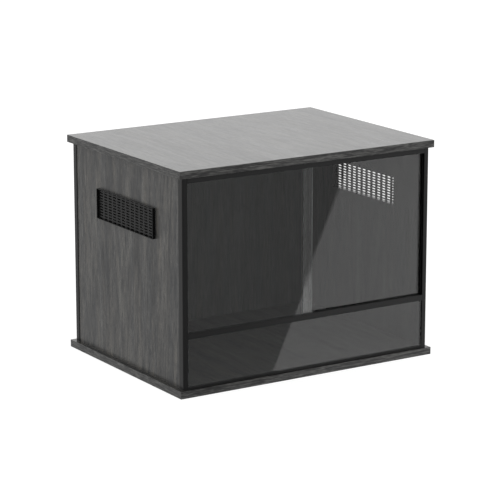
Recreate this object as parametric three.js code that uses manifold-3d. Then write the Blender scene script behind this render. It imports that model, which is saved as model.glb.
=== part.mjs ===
// Terrarium cabinet with two sliding glass doors over a fixed kick glass, and a slotted vent
// high in each side. Woodgrain panels slide on to black extruded posts, between two boards.
// Millimetres, +Z up. Origin: centre of the base board's underside. +X is the width,
// +Y points to the back, and the doors face -Y.

import * as THREE from 'three';
import { mergeVertices } from 'three/addons/utils/BufferGeometryUtils.js';
import Module from 'manifold-3d';

const wasm = await Module();
wasm.setup();

// ---------------------------------------------------------------- driving dimensions

// boards and panels
const width = 600;              // over the top and base boards
const depth = 450;
const height = 450;
const boardThickness = 15;
const bandThickness = 0.8;      // edge banding glued round each board
const sideOverhang = 9;         // of the boards past the posts
const frontOverhang = 5.5;
const backOverhang = 7.5;
const panelThickness = 9;       // side and back panels
const floorThickness = 6;
const floorGap = 0.3;           // round the loose floor panel

// extruded profiles
const skin = 1.6;               // outer wall of the posts
const lip = 1.5;                // walls beside the glass
const channelReach = 9.3;       // depth of the posts' channels, from the doors' side
const flangeLap = 3.3;          // how far a post's outer wall laps over a panel
const postRadius = 3;           // outer corner of a post
const tongueThickness = 2;      // tongue of a post in the grooved edge of a panel
const tongueLength = 5;
const tongueGap = 0.3;          // round a tongue, and between a panel's edge and its post
const railEndGap = 0.2;         // between a rail's end and the post

// glass
const glassThickness = 4;
const glassClearance = 0.3;     // each side of a pane in its channel
const glassChamfer = 0.4;       // ground edge of a pane
const glassCorner = 1.5;        // corner radius of a pane
const doorOverlap = 19;         // of the two closed doors, at the middle
const doorEndGap = 1.3;         // closed door to the bottom of its post's channel
const paneRunGap = 0.3;         // under a pane, over the floor of its channel
const kickSideGap = 0.5;        // kick glass to the bottoms of the posts' channels
const kickTopGap = 0.5;

// rails
const topRailLip = 11.1;        // height of the top rail
const topRailWeb = 1.5;
const trackDepth = 5;           // doors' lower tracks, in the middle rail
const midRailWeb = 2;
const kickChannelDepth = 5;     // under that web, for the kick glass
const midRailFloor = 1.2;       // wall under the middle rail's hollow core
const kickOpening = 100.9;      // base board to the middle rail
const bottomRailLip = 4.7;
const bottomRailWeb = 1.5;

// side vents
const slotColumns = 12;
const slotRows = 11;
const slotLength = 13;
const slotHeight = 2.9;
const columnPitch = 17.85;
const rowPitch = 5.7;
const ventEndMargin = 5.8;      // from the first and last slots to the end walls
const ventRowMargin = 0.15;     // from the first and last rows to the long walls
const ventEndWall = 2;
const ventLongWall = 0.9;
const ventCorner = 2;
const ventProud = 6.5;          // how far the rim stands out of the panel
const ventRecess = 4;           // from the rim's face to the slotted plate
const ventPlate = 1.5;
const ventSleeveStep = 0.4;     // rim past the sleeve that lines the panel's cut-out
const ventSleeveGap = 0.2;
const ventForward = 1;          // centre of the vent in front of the middle of the depth
const ventBelowTop = 108;       // and under the top board

// fasteners
const sideFasteners = 2;        // along a side panel's top and bottom edges
const backFasteners = 3;        // and along the back panel's
const fastenerInset = 45;       // of the outer ones from the panel's ends
const fitGap = 0.25;            // round dowels, screws and pegs
const endGap = 0.5;             // past their ends
const dowelDiameter = 5;
const dowelLength = 20;
const dowelInBoard = 8;
const screwDiameter = 3;
const screwHeadDiameter = 6;
const screwLength = 32;
const screwSink = 0.6;          // head below the base's underside
const screwHeadRim = 0.2;       // height of the straight edge of a countersunk head
const railScrews = 3;           // in each of the top and bottom rails
const railScrewInset = 60;      // of the outer ones from the posts
const railScrewDiameter = 2.4;
const railScrewHead = 4;
const railScrewLength = 10;
const pegInRail = 14;           // pegs that carry the middle rail
const roundSides = 12;          // facets of a dowel, a screw or a hole
const cutOvershoot = 1;         // of a cutting shape past the face that it opens

// ---------------------------------------------------------------- derived dimensions

const sideFace = width / 2 - sideOverhang;          // outer faces of the posts
const frontFace = -(depth / 2 - frontOverhang);
const backFace = depth / 2 - backOverhang;
const cabinFloor = boardThickness;                  // top of the base board
const cabinTop = height - boardThickness;           // underside of the top board

const channel = glassThickness + 2 * glassClearance;
const trackPitch = lip + channel;                   // front track to rear track
const frameDepth = 2 * trackPitch + lip;            // three walls and two channels
const trackWalls = [0, 1, 2].map((i) => frontFace + i * trackPitch);
const trackCentres = trackWalls.slice(0, 2).map((y) => y + lip + channel / 2);
const frameRear = frontFace + frameDepth;

const postWidth = skin + channelReach;
const postInner = sideFace - postWidth;             // posts' faces beside the doors
const channelBottom = sideFace - skin;              // bottoms of the posts' channels
const panelOuter = sideFace - skin;                 // outer face of a side panel
const panelCentre = panelOuter - panelThickness / 2;
const panelInner = panelOuter - panelThickness;
const backPanelCentre = backFace - skin - panelThickness / 2;
const tongueInset = skin + panelThickness / 2;      // tongue's middle from the outer face
const sidePanelFront = frameRear + tongueGap;
const sidePanelBack = backFace - frameDepth - tongueGap;
const backPanelHalf = sideFace - frameDepth - tongueGap;

const topRailBottom = cabinTop - topRailLip;
const topCeiling = cabinTop - topRailWeb;
const midRailBottom = cabinFloor + kickOpening;
const kickCeiling = midRailBottom + kickChannelDepth;
const trackFloor = kickCeiling + midRailWeb;
const midRailTop = trackFloor + trackDepth;
const kickFloor = cabinFloor + bottomRailWeb;
const railEnd = postInner - railEndGap;

const closedEdge = channelBottom - doorEndGap;      // outer edge of a closed door
const doorBottom = trackFloor + paneRunGap;
const doorTop = topCeiling - trackDepth;            // room to lift it out of its track

// ---------------------------------------------------------------- materials

const material = (color, roughness, metalness = 0, extra = {}) =>
  new THREE.MeshStandardMaterial({ color, roughness, metalness, ...extra });
const grainBoard = material(0x565453, 0.5);
const grainBand = material(0x4a4948, 0.55);
const blackProfile = material(0x121212, 0.35);
const blackVent = material(0x0c0c0c, 0.3);
const clearGlass = material(0xdfe6e4, 0.03, 0, { transparent: true, opacity: 0.3 });
const zincSteel = material(0xa9acad, 0.35, 1);
const beech = material(0xc9a77a, 0.7);

// ---------------------------------------------------------------- helpers

const model = new THREE.Group();

function place(name, geometry, finish) {
  const mesh = new THREE.Mesh(geometry, finish);
  mesh.name = name;
  model.add(mesh);
}

function toShape(points) {
  return new THREE.Shape(points.map(([u, v]) => new THREE.Vector2(u, v)));
}

const axisX = new THREE.Vector3(1, 0, 0);
const axisY = new THREE.Vector3(0, 1, 0);
const axisZ = new THREE.Vector3(0, 0, 1);
// where an outline's u, v and its extrusion go, for each direction of extrusion
const bases = {
  x: new THREE.Matrix4().makeBasis(axisY, axisZ, axisX),
  z: new THREE.Matrix4(),
};

// Extrudes an outline from `from` to `to` along an axis. Along x the outline is (y, z), and
// along z it is (x, y).
function extrude(shape, axis, from, to, curveSegments = 2) {
  const options = { depth: to - from, bevelEnabled: false, curveSegments };
  const geometry = new THREE.ExtrudeGeometry(shape, options);
  geometry.translate(0, 0, from);
  geometry.applyMatrix4(bases[axis]);
  return welded(geometry);
}

function welded(geometry) {
  geometry.deleteAttribute('normal');
  geometry.deleteAttribute('uv');
  return mergeVertices(geometry, 1e-4);
}

function box([x0, x1], [y0, y1], [z0, z1]) {
  const geometry = new THREE.BoxGeometry(x1 - x0, y1 - y0, z1 - z0);
  geometry.translate((x0 + x1) / 2, (y0 + y1) / 2, (z0 + z1) / 2);
  return welded(geometry);
}

// A turned piece on a vertical axis. Its profile climbs from the axis back to the axis.
function turned(profile, [x, y]) {
  const points = profile.map(([radius, z]) => new THREE.Vector2(radius, z));
  const geometry = new THREE.LatheGeometry(points, roundSides);
  geometry.rotateX(Math.PI / 2);
  geometry.translate(x, y, 0);
  return withoutSlivers(welded(geometry));
}

// Drops the flat triangles that a lathe leaves where its profile meets the axis.
function withoutSlivers(geometry) {
  const corners = geometry.index.array;
  const kept = [];
  for (let i = 0; i < corners.length; i += 3) {
    const [a, b, c] = corners.slice(i, i + 3);
    if (a !== b && b !== c && c !== a) kept.push(a, b, c);
  }
  geometry.setIndex(kept);
  return geometry;
}

function rod(radius, spot, z0, z1) {
  return turned([[0, z0], [radius, z0], [radius, z1], [0, z1]], spot);
}

function toSolid(geometry) {
  const vertProperties = Float32Array.from(geometry.attributes.position.array);
  const triVerts = Uint32Array.from(geometry.index.array);
  return new wasm.Manifold(new wasm.Mesh({ numProp: 3, vertProperties, triVerts }));
}

function toGeometry(solid) {
  const { vertProperties, triVerts } = solid.getMesh();
  const geometry = new THREE.BufferGeometry();
  geometry.setAttribute('position', new THREE.BufferAttribute(vertProperties, 3));
  geometry.setIndex(new THREE.BufferAttribute(triVerts, 1));
  return geometry;
}

function cut(body, tools) {
  return toGeometry(tools.reduce((solid, tool) => solid.subtract(toSolid(tool)),
    toSolid(body)));
}

function join(body, others) {
  return toGeometry(others.reduce((solid, other) => solid.add(toSolid(other)),
    toSolid(body)));
}

// The same piece on the other side of the cabinet, with its faces turned out again.
function mirrored(geometry) {
  const copy = geometry.clone();
  copy.scale(-1, 1, 1);
  const index = copy.index.array;
  for (let i = 0; i < index.length; i += 3) {
    [index[i], index[i + 1]] = [index[i + 1], index[i]];
  }
  return copy;
}

function placePair(leftName, rightName, rightGeometry, finish) {
  place(leftName, mirrored(rightGeometry), finish);
  place(rightName, rightGeometry, finish);
}

// `count` places spread evenly from `first` to `last`.
function spread(count, first, last) {
  const step = (last - first) / (count - 1);
  return Array.from({ length: count }, (_, i) => first + i * step);
}

// ---------------------------------------------------------------- places of fasteners

const rightSpots = spread(sideFasteners, sidePanelFront + fastenerInset,
  sidePanelBack - fastenerInset).map((y) => [panelCentre, y]);
const leftSpots = rightSpots.map(([x, y]) => [-x, y]);
const backSpots = spread(backFasteners, -backPanelHalf + fastenerInset,
  backPanelHalf - fastenerInset).map((x) => [x, backPanelCentre]);
const panelSpots = { left: leftSpots, right: rightSpots, back: backSpots };
const allPanelSpots = Object.values(panelSpots).flat();
const railSpots = spread(railScrews, -postInner + railScrewInset,
  postInner - railScrewInset).map((x) => [x, trackCentres[0]]);

// ---------------------------------------------------------------- fasteners and their holes

// Countersunk screw: its head lies at `face`, and it points up (1) or down (-1).
function screw(spot, face, up, diameter, head, length) {
  const cone = (head - diameter) / 2;
  return climbing(face, up, spot, [[0, 0], [head / 2, 0], [head / 2, screwHeadRim],
    [diameter / 2, screwHeadRim + cone], [diameter / 2, length - diameter / 2],
    [0, length]]);
}

// The countersunk hole for that screw, from just outside the face.
function screwHole(spot, face, up, diameter, head, length) {
  const cone = (head - diameter) / 2;
  const end = length + endGap;
  return climbing(face, up, spot, [[0, -cutOvershoot],
    [head / 2 + fitGap, -cutOvershoot], [head / 2 + fitGap, screwHeadRim],
    [diameter / 2 + fitGap, screwHeadRim + cone], [diameter / 2 + fitGap, end], [0, end]]);
}

function climbing(face, up, spot, profile) {
  const heights = profile.map(([radius, z]) => [radius, face + up * z]);
  return turned(up > 0 ? heights : heights.reverse(), spot);
}

const baseScrewSize = [screwSink, 1, screwDiameter, screwHeadDiameter, screwLength];
const railScrewSize = [railScrewDiameter, railScrewHead, railScrewLength];
const baseScrewHoles = (spots) => spots.map((spot) => screwHole(spot, ...baseScrewSize));
const topRailHoles = () => railSpots.map((spot) =>
  screwHole(spot, topCeiling, 1, ...railScrewSize));
const bottomRailHoles = () => railSpots.map((spot) =>
  screwHole(spot, kickFloor, -1, ...railScrewSize));

const dowelTop = cabinTop + dowelInBoard;
const dowelBottom = dowelTop - dowelLength;
const dowelHoles = (spots) => spots.map((spot) =>
  rod(dowelDiameter / 2 + fitGap, spot, dowelBottom - endGap, dowelTop + endGap));

// Each fastener is a piece of its own, numbered along its row.
function placeRow(name, spots, make, finish) {
  spots.forEach((spot, i) => place(`${name}_${i + 1}`, make(spot), finish));
}

function placeFasteners() {
  for (const [panel, spots] of Object.entries(panelSpots)) {
    placeRow(`${panel}_top_dowel`, spots, (spot) =>
      rod(dowelDiameter / 2, spot, dowelBottom, dowelTop), beech);
    placeRow(`${panel}_base_screw`, spots, (spot) => screw(spot, ...baseScrewSize),
      zincSteel);
  }
  placeRow('top_rail_screw', railSpots, (spot) =>
    screw(spot, topCeiling, 1, ...railScrewSize), zincSteel);
  placeRow('bottom_rail_screw', railSpots, (spot) =>
    screw(spot, kickFloor, -1, ...railScrewSize), zincSteel);
}

// ---------------------------------------------------------------- boards

function boardCore(z0, z1) {
  const x = width / 2 - bandThickness;
  const y = depth / 2 - bandThickness;
  return box([-x, x], [-y, y], [z0, z1]);
}

function topBoard() {
  return cut(boardCore(cabinTop, height), [...dowelHoles(allPanelSpots), ...topRailHoles()]);
}

function baseBoard() {
  return cut(boardCore(0, boardThickness),
    [...baseScrewHoles(allPanelSpots), ...bottomRailHoles()]);
}

// The front and back strips of banding cover the ends of the side strips.
function placeBands(board, z0, z1) {
  const x = width / 2;
  const y = depth / 2;
  const t = bandThickness;
  place(`${board}_band_front`, box([-x, x], [-y, -y + t], [z0, z1]), grainBand);
  place(`${board}_band_back`, box([-x, x], [y - t, y], [z0, z1]), grainBand);
  placePair(`${board}_band_left`, `${board}_band_right`,
    box([x - t, x], [-y + t, y - t], [z0, z1]), grainBand);
}

// ---------------------------------------------------------------- panels

const grooveHalf = tongueThickness / 2 + tongueGap;
const grooveReach = tongueLength + tongueGap;        // from the post's body into the panel

function sidePanel() {
  const body = box([panelInner, panelOuter], [sidePanelFront, sidePanelBack],
    [cabinFloor, cabinTop]);
  const across = [panelCentre - grooveHalf, panelCentre + grooveHalf];
  const along = [cabinFloor - cutOvershoot, cabinTop + cutOvershoot];
  const backBody = backFace - frameDepth;
  return cut(body, [
    box(across, [frameRear - cutOvershoot, frameRear + grooveReach], along),
    box(across, [backBody - grooveReach, backBody + cutOvershoot], along),
    ventCutOut(), ...dowelHoles(rightSpots), ...baseScrewHoles(rightSpots),
  ]);
}

function backPanel() {
  const half = panelThickness / 2;
  const body = box([-backPanelHalf, backPanelHalf],
    [backPanelCentre - half, backPanelCentre + half], [cabinFloor, cabinTop]);
  const bodyEnd = sideFace - frameDepth;
  const groove = box([bodyEnd - grooveReach, bodyEnd + cutOvershoot],
    [backPanelCentre - grooveHalf, backPanelCentre + grooveHalf],
    [cabinFloor - cutOvershoot, cabinTop + cutOvershoot]);
  return cut(body, [groove, mirrored(groove), ...dowelHoles(backSpots),
    ...baseScrewHoles(backSpots)]);
}

// The floor panel lies loose on the base board, behind the bottom rail.
function floorPanel() {
  const x = postInner - floorGap;
  return box([-x, x], [trackWalls[1] + lip + floorGap, backFace - postWidth - floorGap],
    [cabinFloor, cabinFloor + floorThickness]);
}

// ---------------------------------------------------------------- posts

// The comb of a double track, from its rear wall to its front wall, as pairs of a place in
// the depth and a height: `tip` at the ends of the walls, `root` at the channel bottoms.
function trackComb(tip, root) {
  const points = [];
  for (let i = trackWalls.length - 1; i >= 0; i -= 1) {
    points.push([trackWalls[i] + lip, tip], [trackWalls[i], tip]);
    if (i > 0) points.push([trackWalls[i], root], [trackWalls[i - 1] + lip, root]);
  }
  return points;
}

// Front post: a double track towards the doors, and a flange and a tongue for the panel.
function frontPost() {
  const flangeEnd = frameRear + flangeLap;
  const tongueEnd = frameRear + tongueLength;
  const tongueOuter = panelCentre + tongueThickness / 2;
  const tongueInner = panelCentre - tongueThickness / 2;
  const shape = new THREE.Shape();
  shape.absarc(sideFace - postRadius, frontFace + postRadius, postRadius,
    -Math.PI / 2, 0);
  const rest = [[sideFace, flangeEnd], [channelBottom, flangeEnd],
    [channelBottom, frameRear], [tongueOuter, frameRear], [tongueOuter, tongueEnd],
    [tongueInner, tongueEnd], [tongueInner, frameRear],
    ...trackComb(postInner, channelBottom).map(([y, x]) => [x, y])];
  rest.forEach(([x, y]) => shape.lineTo(x, y));
  return extrude(shape, 'z', cabinFloor, cabinTop);
}

// Back post: two like legs round a hollow core, each with a flange and a tongue. Its
// outline is drawn inwards from the outer corner, and then turned to face it.
function backPost() {
  const tongueNear = tongueInset - tongueThickness / 2;
  const tongueFar = tongueInset + tongueThickness / 2;
  const tongueEnd = frameDepth + tongueLength;
  const leg = [[frameDepth + flangeLap, 0], [frameDepth + flangeLap, skin],
    [frameDepth, skin], [frameDepth, tongueNear], [tongueEnd, tongueNear],
    [tongueEnd, tongueFar], [frameDepth, tongueFar], [frameDepth, postWidth]];
  const otherLeg = leg.map(([u, v]) => [v, u]).reverse();
  const shape = new THREE.Shape();
  shape.absarc(postRadius, postRadius, postRadius, Math.PI, 1.5 * Math.PI);
  [...leg, [postWidth, postWidth], ...otherLeg].forEach(([u, v]) => shape.lineTo(u, v));
  const inner = postWidth - lip;
  const legEnd = frameDepth - lip;
  shape.holes.push(toShape([[skin, skin], [skin, legEnd], [inner, legEnd],
    [inner, inner], [legEnd, inner], [legEnd, skin]]));
  return extrude(shape, 'z', cabinFloor, cabinTop)
    .rotateZ(Math.PI).translate(sideFace, backFace, 0);
}

// ---------------------------------------------------------------- rails

function rail(points, hollow) {
  const shape = toShape(points);
  if (hollow) shape.holes.push(toShape(hollow));
  return extrude(shape, 'x', -railEnd, railEnd);
}

// Top rail: three walls that hang from a web, deep enough to lift a door out.
function topRail() {
  return cut(rail([[frontFace, cabinTop], [frameRear, cabinTop],
    ...trackComb(topRailBottom, topCeiling)]), topRailHoles());
}

// Middle rail: the doors' track above, and below it the kick glass's channel and a core.
function middleRail() {
  const [front, middle, rear] = trackWalls;
  const coreFloor = midRailBottom + midRailFloor;
  return rail([...trackComb(midRailTop, trackFloor), [front, midRailBottom],
    [front + lip, midRailBottom], [front + lip, kickCeiling], [middle, kickCeiling],
    [middle, midRailBottom], [frameRear, midRailBottom]],
  [[middle + lip, coreFloor], [middle + lip, kickCeiling], [rear, kickCeiling],
    [rear, coreFloor]]);
}

// Bottom rail: a low channel for the kick glass, on the base board.
function bottomRail() {
  const [front, middle] = trackWalls;
  const lipTop = cabinFloor + bottomRailLip;
  return cut(rail([[front, cabinFloor], [middle + lip, cabinFloor],
    [middle + lip, lipTop], [middle, lipTop], [middle, kickFloor],
    [front + lip, kickFloor], [front + lip, lipTop], [front, lipTop]]),
  bottomRailHoles());
}

// A peg carries each end of the middle rail: in its core, and in the post's rear channel.
function railPeg() {
  const y = trackCentres[1];
  const half = channel / 2 - fitGap;
  return box([railEnd - pegInRail, channelBottom - fitGap], [y - half, y + half],
    [midRailBottom + midRailFloor + fitGap, kickCeiling - fitGap]);
}

// ---------------------------------------------------------------- glass

// A rectangle with round corners, about its own centre.
function roundedOutline(length, tall, radius, PathType = THREE.Shape) {
  const u = length / 2 - radius;
  const v = tall / 2 - radius;
  const path = new PathType();
  path.absarc(u, v, radius, 0, Math.PI / 2);
  path.absarc(-u, v, radius, Math.PI / 2, Math.PI);
  path.absarc(-u, -v, radius, Math.PI, 1.5 * Math.PI);
  path.absarc(u, -v, radius, 1.5 * Math.PI, 2 * Math.PI);
  return path;
}

// A pane with ground edges and eased corners, in the front (0) or rear (1) track.
function pane([x0, x1], [z0, z1], track) {
  const inset = glassChamfer;
  const shape = roundedOutline(x1 - x0 - 2 * inset, z1 - z0 - 2 * inset,
    glassCorner - inset);
  const geometry = new THREE.ExtrudeGeometry(shape, {
    depth: glassThickness - 2 * inset, curveSegments: 1, bevelEnabled: true,
    bevelSegments: 1, bevelSize: inset, bevelThickness: inset,
  });
  geometry.rotateX(Math.PI / 2);
  geometry.translate((x0 + x1) / 2, trackCentres[track] + glassThickness / 2 - inset,
    (z0 + z1) / 2);
  return welded(geometry);
}

function placeGlass() {
  const kickHalf = channelBottom - kickSideGap;
  const half = doorOverlap / 2;
  place('left_door_glass', pane([-closedEdge, half], [doorBottom, doorTop], 0), clearGlass);
  place('right_door_glass', pane([-half, closedEdge], [doorBottom, doorTop], 1), clearGlass);
  place('kick_glass', pane([-kickHalf, kickHalf],
    [kickFloor + paneRunGap, kickCeiling - kickTopGap], 0), clearGlass);
}

// ---------------------------------------------------------------- vents

const ventCentre = [-ventForward, cabinTop - ventBelowTop];
const ventOpening = [
  (slotColumns - 1) * columnPitch + slotLength + 2 * ventEndMargin,
  (slotRows - 1) * rowPitch + slotHeight + 2 * ventRowMargin,
];
const ventOuter = [ventOpening[0] + 2 * ventEndWall, ventOpening[1] + 2 * ventLongWall];
const ventFace = panelOuter + ventProud;

// The rim's outline, drawn in by `inside` on every side.
function ventOutline(inside) {
  return roundedOutline(ventOuter[0] - 2 * inside, ventOuter[1] - 2 * inside,
    ventCorner - inside);
}

function ventExtrude(shape, x0, x1, segments) {
  return extrude(shape, 'x', x0, x1, segments).translate(0, ...ventCentre);
}

function ventRing(inside, x0, x1) {
  const ring = ventOutline(inside);
  ring.holes.push(roundedOutline(...ventOpening, ventCorner - ventLongWall, THREE.Path));
  return ventExtrude(ring, x0, x1);
}

function ventCutOut() {
  return ventExtrude(ventOutline(ventSleeveStep - ventSleeveGap),
    panelInner - cutOvershoot, panelOuter + cutOvershoot);
}

// One slot with round ends, as a hole of the slotted plate.
function ventSlot(y, z) {
  const radius = slotHeight / 2;
  const straight = slotLength / 2 - radius;
  const path = new THREE.Path();
  path.absarc(y + straight, z, radius, -Math.PI / 2, Math.PI / 2);
  path.absarc(y - straight, z, radius, Math.PI / 2, 1.5 * Math.PI);
  return path;
}

// The vent is one moulding: a thin rim, a slotted plate set back in it, and a sleeve that
// lines the cut-out in the panel.
function vent() {
  const plate = ventOutline(ventSleeveStep);
  const columnEnd = (slotColumns - 1) * columnPitch / 2;
  const rowEnd = (slotRows - 1) * rowPitch / 2;
  for (const y of spread(slotColumns, -columnEnd, columnEnd)) {
    for (const z of spread(slotRows, -rowEnd, rowEnd)) plate.holes.push(ventSlot(y, z));
  }
  const plateOuter = ventFace - ventRecess;
  const slotted = ventExtrude(plate, plateOuter - ventPlate, plateOuter, 1);
  return join(ventRing(0, panelOuter, ventFace),
    [ventRing(ventSleeveStep, panelInner, plateOuter), slotted]);
}

// ---------------------------------------------------------------- assembly

place('top_panel', topBoard(), grainBoard);
place('base_panel', baseBoard(), grainBoard);
placeBands('top', cabinTop, height);
placeBands('base', 0, boardThickness);
place('floor_panel', floorPanel(), grainBoard);
placePair('left_side_panel', 'right_side_panel', sidePanel(), grainBoard);
place('back_panel', backPanel(), grainBoard);
placePair('front_left_post', 'front_right_post', frontPost(), blackProfile);
placePair('back_left_post', 'back_right_post', backPost(), blackProfile);
place('top_rail', topRail(), blackProfile);
place('middle_rail', middleRail(), blackProfile);
place('bottom_rail', bottomRail(), blackProfile);
placePair('left_rail_peg', 'right_rail_peg', railPeg(), blackProfile);
placeGlass();
placePair('left_vent', 'right_vent', vent(), blackVent);
placeFasteners();

export default model;
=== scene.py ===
# %% [markdown]
# # A terrarium cabinet with sliding glass doors
# The cabinet stands on its base board. Its panels and boards are covered with a dark grey
# woodgrain foil, its posts and rails are black extruded plastic, and two panes slide in front
# of it, over a fixed one. The construction comes from a CAD model that is loaded here and never
# moved. This lesson gives it its looks: fine edges, a vent with true round slots, and a
# procedural finish for every surface.

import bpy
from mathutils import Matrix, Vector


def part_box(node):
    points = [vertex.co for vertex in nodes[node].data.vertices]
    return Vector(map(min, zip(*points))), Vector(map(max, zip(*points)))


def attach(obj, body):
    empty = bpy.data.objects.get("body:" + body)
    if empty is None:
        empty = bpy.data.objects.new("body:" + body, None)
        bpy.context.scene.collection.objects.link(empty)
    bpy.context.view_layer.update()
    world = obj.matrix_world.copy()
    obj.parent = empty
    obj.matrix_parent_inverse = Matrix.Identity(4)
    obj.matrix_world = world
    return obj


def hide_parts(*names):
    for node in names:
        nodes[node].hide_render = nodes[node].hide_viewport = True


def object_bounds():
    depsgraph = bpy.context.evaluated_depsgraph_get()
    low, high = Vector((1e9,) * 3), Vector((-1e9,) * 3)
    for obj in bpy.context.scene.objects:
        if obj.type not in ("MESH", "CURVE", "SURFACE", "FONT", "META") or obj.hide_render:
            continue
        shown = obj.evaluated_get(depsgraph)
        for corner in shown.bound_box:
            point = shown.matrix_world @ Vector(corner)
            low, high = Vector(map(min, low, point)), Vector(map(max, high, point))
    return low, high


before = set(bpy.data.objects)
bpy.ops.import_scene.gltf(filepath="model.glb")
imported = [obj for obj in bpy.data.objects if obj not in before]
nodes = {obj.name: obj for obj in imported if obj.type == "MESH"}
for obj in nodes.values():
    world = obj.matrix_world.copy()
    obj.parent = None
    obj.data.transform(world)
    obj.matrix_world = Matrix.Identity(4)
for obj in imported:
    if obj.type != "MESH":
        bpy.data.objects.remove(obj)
cad_low, cad_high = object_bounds()
print("CAD model:", len(nodes), "nodes, from", tuple(cad_low), "to", tuple(cad_high))

# %% Tools used in every cell
import math

import bmesh
import bpy
from mathutils import Vector

scene = bpy.context.scene
MM = 0.001
TINY = 1e-7

# %% [markdown]
# ## Camera
# The photograph was taken from a long way off with a long lens: the edges of the boards nearly
# run parallel. A camera was fitted to those edges, and its place is given here in metres. The
# focal length was measured in pixels of the square photograph, so it is turned into millimetres
# on Blender's sensor.

# %% Camera
PHOTO_SIDE = 500
FOCAL_PIXELS = 2387.6
CAMERA_PLACE = (-2.5638, -4.0330, 1.3620)
CAMERA_AZIMUTH = -32.454
CAMERA_ELEVATION = 13.508

camera_data = bpy.data.cameras.new("camera")
camera_data.lens = FOCAL_PIXELS / PHOTO_SIDE * camera_data.sensor_width
camera_data.clip_end = 100
camera = bpy.data.objects.new("camera", camera_data)
camera.location = CAMERA_PLACE
camera.rotation_euler = (
    math.radians(90 - CAMERA_ELEVATION), 0, math.radians(CAMERA_AZIMUTH))
scene.collection.objects.link(camera)
scene.camera = camera
print("lens", round(camera_data.lens, 1), "mm")

# %% [markdown]
# ## Shader maths as expressions
# A finish is a tree of nodes. Writing every node and link by hand hides the idea behind it, so
# a small class wraps an output socket and lets Python's own operators add the Math nodes:
# `1 - mask` is a node. Any other node comes from one method, which takes the node's type, its
# settings and what its sockets hold or are linked to.

# %% Values and finishes
class Value:
    """An output socket. An expression on values adds its Math nodes."""

    def __init__(self, finish, socket):
        self.finish = finish
        self.socket = socket

    def other(self, name):
        """Another output of the same node."""
        return Value(self.finish, self.socket.node.outputs[name])

    def math(self, operation, *others):
        inputs = dict(enumerate((self, *others)))
        return self.finish.node("Math", {"operation": operation}, inputs)

    def __add__(self, other):
        return self.math("ADD", other)

    def __mul__(self, other):
        return self.math("MULTIPLY", other)

    def __sub__(self, other):
        return self.math("SUBTRACT", other)

    def __rsub__(self, other):
        return self.math("MULTIPLY", -1).math("ADD", other)

    def __truediv__(self, other):
        return self.math("DIVIDE", other)

    def __pow__(self, other):
        return self.math("POWER", other)

    __radd__ = __add__


class Finish:
    """The node tree of a material or of the world."""

    def __init__(self, owner):
        owner.use_nodes = True
        self.owner = owner
        self.tree = owner.node_tree
        self.tree.nodes.clear()

    def node(self, kind, settings=None, sockets=None, output=0):
        made = self.tree.nodes.new("ShaderNode" + kind)
        for name, setting in (settings or {}).items():
            if name == "stops":
                self.set_stops(made.color_ramp, setting)
            else:
                setattr(made, name, setting)
        for name, held in (sockets or {}).items():
            if isinstance(held, Value):
                self.tree.links.new(held.socket, made.inputs[name])
            else:
                made.inputs[name].default_value = held
        return Value(self, made.outputs[output]) if made.outputs else None

    @staticmethod
    def set_stops(ramp, stops):
        while len(ramp.elements) < len(stops):
            ramp.elements.new(0.5)
        for element, (place, colour) in zip(ramp.elements, stops):
            element.position = place
            element.color = (*colour, 1)

    def end(self, surface):
        self.node("OutputMaterial", None, {"Surface": surface})
        return self.owner


def new_finish(name):
    return Finish(bpy.data.materials.new(name))


def grey(level):
    return (level, level, level, 1)


print("a value can be added to, multiplied by and taken from a number")

# %% [markdown]
# ## Studio
# The background of the photograph is plain white and the light is soft, from everywhere. The
# world is plain white, and brighter than white to gloss, which brings the top board to its level.
# The floor lights the cabinet as a plain surface. The camera sees it glow, with a part of its
# light kept as a plain surface for the contact shadow. Gloss and glass see an even glow, because
# a shaded floor in a mirror would only add noise to the panes.

# %% World and floor
WORLD_LIGHT = 1.0
WORLD_GLOSS = 1.42
FLOOR_DROP = 0.1 * MM
FLOOR_HALF = 30
FLOOR_CAMERA_GLOW = 0.82
FLOOR_GLOSS_GLOW = 0.92
FLOOR_PLAIN = 0.8
FLOOR_DIM = 0.3


def seen_ray(finish):
    """1 for the rays that look at the background: straight, off gloss or through glass."""
    path = finish.node("LightPath", output="Is Camera Ray")
    looking = path.math("MAXIMUM", path.other("Is Glossy Ray"))
    return looking.math("MAXIMUM", path.other("Is Transmission Ray"))


def make_world():
    world = bpy.data.worlds.new("studio")
    finish = Finish(world)
    light = finish.node("Background", None, {"Color": grey(1), "Strength": WORLD_LIGHT})
    gloss = finish.node("LightPath", output="Is Glossy Ray")
    white = finish.node("Background", None, {
        "Color": grey(1), "Strength": 1 + gloss * (WORLD_GLOSS - 1)})
    mixed = finish.node("MixShader", None, {0: seen_ray(finish), 1: light, 2: white})
    finish.node("OutputWorld", None, {"Surface": mixed})
    scene.world = world


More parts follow.
